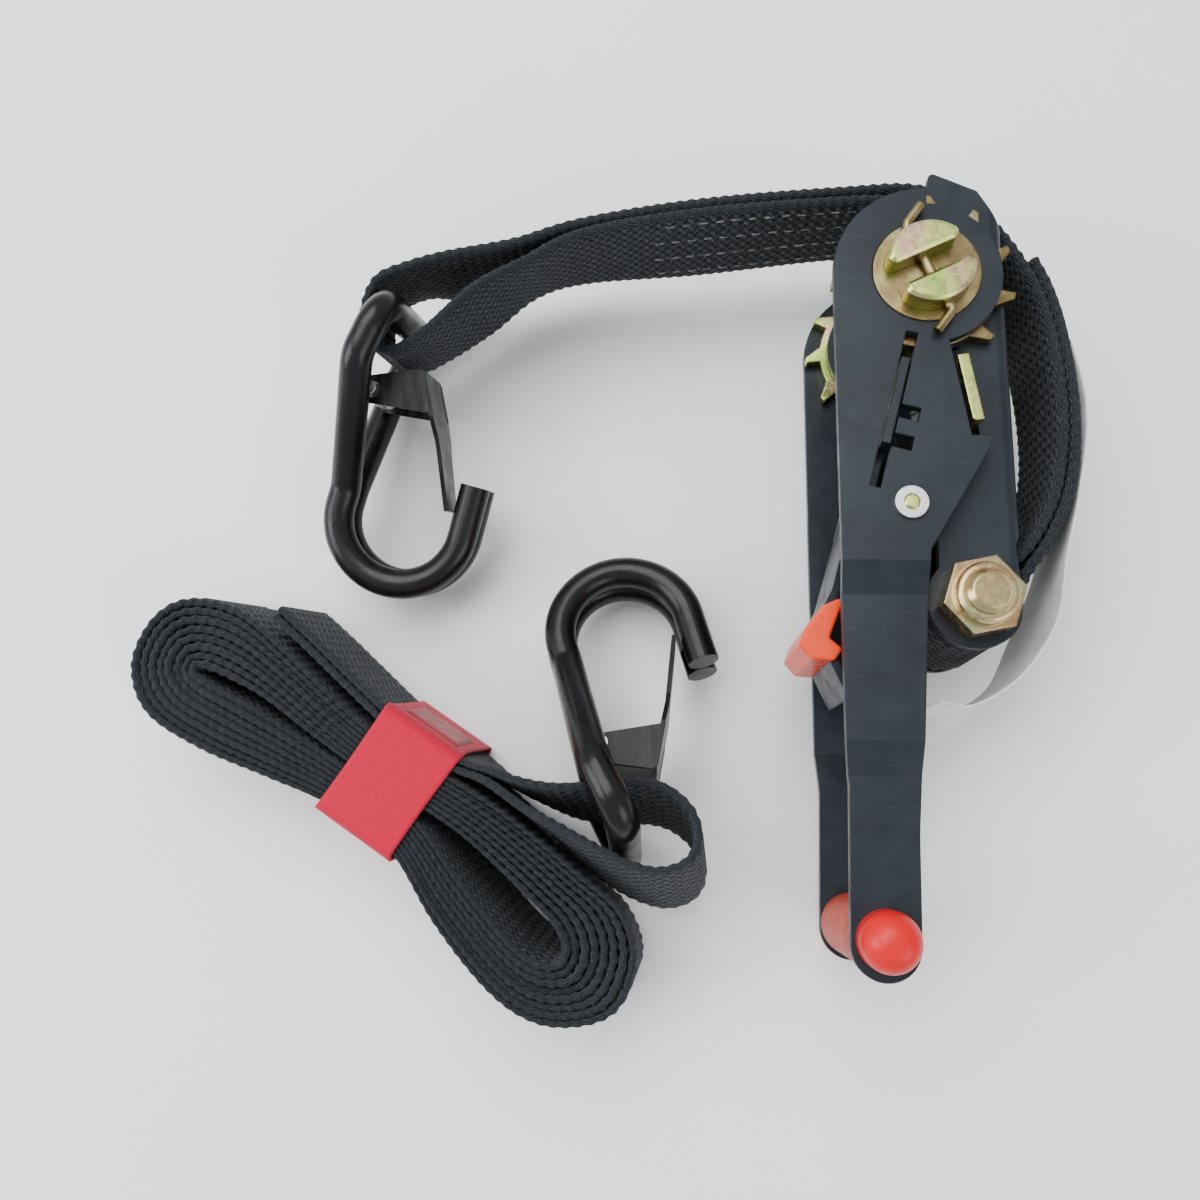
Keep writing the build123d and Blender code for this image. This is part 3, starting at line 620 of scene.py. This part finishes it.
BAND_HALF_B, BAND_HALF_Z, BAND_CORNER = 12.3, 13.0, 1.7
BAND_THICK, BAND_LEAN, BAND_MIDDLE, BAND_GIRTH = 0.6, 0.16, 13.15, 76.0
BAND_CORNERS = ((1, 1), (-1, 1), (-1, -1), (1, -1))  # signs across and up, in turn
SIDE_STEPS = 10


def band_section(grow):
    """The band's section across the coil: a box with rounded corners that leans with the coil."""
    half_b, half_z, corner = BAND_HALF_B + grow, BAND_HALF_Z + grow, BAND_CORNER + grow

    def on_corner(turn, degrees):
        sign_b, sign_z = BAND_CORNERS[turn % 4]
        t = math.radians(degrees)
        b = sign_b * (half_b - corner) + corner * math.cos(t)
        return (b, sign_z * (half_z - corner) + corner * math.sin(t))

    rows = []
    for turn in range(4):
        rows += [on_corner(turn, 90 * turn + 15 * step) for step in range(7)]
        near, far = rows[-1], on_corner(turn + 1, 90 * turn + 90)
        for k in range(1, SIDE_STEPS):
            rows.append(tuple(n + (f - n) * k / SIDE_STEPS for n, f in zip(near, far)))
    return [(BAND_OFFSET + b - BAND_LEAN * z - 0.1, BAND_MIDDLE + z) for b, z in rows]


def add_band():
    """A woven band drawn tight: a closed sleeve, its edges not quite straight."""
    stations = np.linspace(-BAND_HALF, BAND_HALF, 25)
    outer, inner = band_section(0.0), band_section(-BAND_THICK)
    size = len(outer)
    vertices = []
    for rows in (outer, inner):
        for a in stations:
            for k, (b, z) in enumerate(rows):
                wobble = 0.25 * math.sin(k * 0.26 + 1.3) * a / BAND_HALF
                vertices.append(coil_place(a + wobble, b, z))
    faces, uvs = [], []
    girth = BAND_GIRTH / size
    layer = len(stations) * size

    def quad(corners, marks):
        faces.append(corners)
        uvs.extend(marks)

    for shell in (0, 1):
        for i in range(len(stations) - 1):
            low, high = shell * layer + i * size, shell * layer + (i + 1) * size
            for k in range(size):
                n = (k + 1) % size
                corners = (low + k, low + n, high + n, high + k)
                marks = [(k * girth, stations[i]), ((k + 1) * girth, stations[i])]
                marks += [((k + 1) * girth, stations[i + 1]), (k * girth, stations[i + 1])]
                quad(corners if shell else corners[::-1], marks if shell else marks[::-1])
    for i, turned in ((0, False), (len(stations) - 1, True)):
        for k in range(size):
            n = (k + 1) % size
            corners = (i * size + k, i * size + n, layer + i * size + n, layer + i * size + k)
            quad(corners[::-1] if turned else corners, [(k * girth, 0.0)] * 4)
    band = mesh_object("red_band_sleeve", vertices, faces, uvs, MATERIALS["band"])
    patch = add_patch(outer)
    declare(band, "long_strap", ["band"])


PATCH_PROUD = (0.02, 0.34, 0.42)  # at its rim, one step in from it, and over the rest


def add_patch(outer):
    """The blank raised patch on the band's outer side."""
    across = [row for row in outer if row[0] > BAND_OFFSET + 9.5 and 6.5 < row[1] < 24.0]
    across = np.array(sorted(across, key=lambda row: row[1]))
    line, _ = even(across, 0.6, slice(0, 2))
    stations = np.linspace(-6.4, 6.6, 22)
    vertices, faces, uvs = [], [], []
    rows, columns = len(line), len(stations)
    for j, (b, z) in enumerate(line):
        for i, a in enumerate(stations):
            rim = min(i, columns - 1 - i, j, rows - 1 - j)
            vertices.append(coil_place(a, b + PATCH_PROUD[min(rim, 2)], z))
    for j in range(rows - 1):
        for i in range(columns - 1):
            corner = j * columns + i
            faces.append((corner, corner + columns, corner + columns + 1, corner + 1))
            uvs += [(i, j), (i, j + 1), (i + 1, j + 1), (i + 1, j)]
    # its side walls, and a back that lies inside the band
    back = len(vertices)
    edge = list(range(columns))
    edge += [j * columns + columns - 1 for j in range(1, rows)]
    edge += [(rows - 1) * columns + i for i in range(columns - 2, -1, -1)]
    edge += [j * columns for j in range(rows - 2, 0, -1)]
    inward = np.array(coil_direction(0, -0.3, 0))
    for index in edge:
        vertices.append(tuple(np.array(vertices[index]) + inward))
    for n in range(len(edge)):
        m = (n + 1) % len(edge)
        faces.append((edge[n], edge[m], back + m, back + n))
        uvs += [(0, 0)] * 4
    faces.append(tuple(back + n for n in range(len(edge))))
    uvs += [(0, 0)] * len(edge)
    patch = mesh_object("band_blank_patch", vertices, faces, uvs, MATERIALS["patch"])
    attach(patch, "long_strap")
    return patch


# ---------------------------------------------------------------- finishes on the rigid parts
def finish_rigid_parts():
    groups = {
        "plate": ["base_frame", "handle_arm_upper", "handle_arm_lower", "drive_pawl"],
        "zinc": ["lock_pawl", "spool_bar_outer", "spool_bar_inner", "gear_lower", "cross_pin"],
        "nut_zinc": ["anchor_bolt", "anchor_nut"],
        "gear_zinc": ["gear_upper", "cotter_pin_upper", "cotter_pin_lower"],
        "bright": [
            "bolt_sleeve", "lock_pawl_spring", "drive_pawl_spring", "grip_rod", "push_washers",
            "keeper_pin_a", "keeper_pin_b", "keeper_spring_a", "keeper_spring_b",
        ],
        "hook": ["hook_a", "hook_b"],
        "keeper": ["keeper_a", "keeper_b"],
        "cap": ["grip_cap_upper", "grip_cap_lower"],
        "sleeve": ["grip_sleeve"],
        "tab": ["release_tab"],
    }
    for material, names in groups.items():
        for name in names:
            for place in frame["nodes"][name].material_slots:
                place.material = MATERIALS[material]


def make_materials():
    return {
        "plate": coated_plate(),
        "zinc": yellow_zinc("pawl_zinc", (0.30, 0.42, 0.09), (0.50, 0.56, 0.17), (0.54, 0.34, 0.25), 0.28),
        "nut_zinc": yellow_zinc("nut_zinc", (0.40, 0.23, 0.11), (0.52, 0.36, 0.18), (0.44, 0.46, 0.24), 0.24),
        "gear_zinc": yellow_zinc(
            "gear_zinc", (0.15, 0.105, 0.045), (0.25, 0.185, 0.085), (0.34, 0.30, 0.15), 0.32
        ),
        "bright": bright_zinc(),
        "hook": hook_black(),
        "keeper": keeper_steel(),
        "cap": soft_vinyl("cap_vinyl", (0.50, 0.001, 0.004), (0.64, 0.003, 0.007), 0.34),
        # the grip sleeve is the caps' red vinyl made darker and browner: painted shade between the handle
        # arms
        "sleeve": soft_vinyl("sleeve_vinyl_painted_shade", (0.30, 0.032, 0.016), (0.46, 0.05, 0.024), 0.5),
        "tab": soft_vinyl("tab_plastic", (0.72, 0.045, 0.006), (0.86, 0.07, 0.012), 0.32),
        # the third colour of each weave is its painted highlight, the glint on stray fibres
        "webbing": woven(
            "black_webbing", (0.002, 0.0026, 0.0036), (0.026, 0.032, 0.042), (0.30, 0.34, 0.39), 0.535
        ),
        "band": woven(
            "red_band_weave", (0.40, 0.001, 0.020), (0.60, 0.004, 0.045), (0.74, 0.06, 0.10), 0.66,
            rib=0.55, yarn=0.55, sheen=0.1, depth=0.00006,
        ),
        "patch": soft_vinyl("patch_rubber", (0.27, 0.016, 0.026), (0.35, 0.026, 0.036), 0.42),
        "label": blank_label(),
        "thread": thread(),
        "floor": pale_floor(),
    }


FLOOR_REACH, FLOOR_DROP = 3.0, 0.0002  # metres


def add_floor():
    mesh = bpy.data.meshes.new("floor")
    corners = [(x * FLOOR_REACH, y * FLOOR_REACH, 0) for x, y in ((-1, -1), (1, -1), (1, 1), (-1, 1))]
    mesh.from_pydata(corners, [], [(0, 1, 2, 3)])
    mesh.materials.append(MATERIALS["floor"])
    floor = bpy.data.objects.new("floor", mesh)
    floor.location.z = -FLOOR_DROP
    bpy.context.scene.collection.objects.link(floor)


MATERIALS = make_materials()
add_camera()
add_world()
add_area("softbox_above", (-0.25, 0.35, 0.9), (0, 0, 0), (0.9, 0.7), 13.0)
add_area("window_left", (-0.8, -0.1, 0.5), (0, 0, 0.02), (0.5, 0.6), 6.5, (0.95, 0.98, 1.0))
add_area("fill_right", (0.7, -0.6, 0.6), (0, 0, 0.02), (0.6, 0.6), 4.0)
add_floor()
finish_rigid_parts()
add_short_strap()
add_label()
add_long_strap()
add_band()
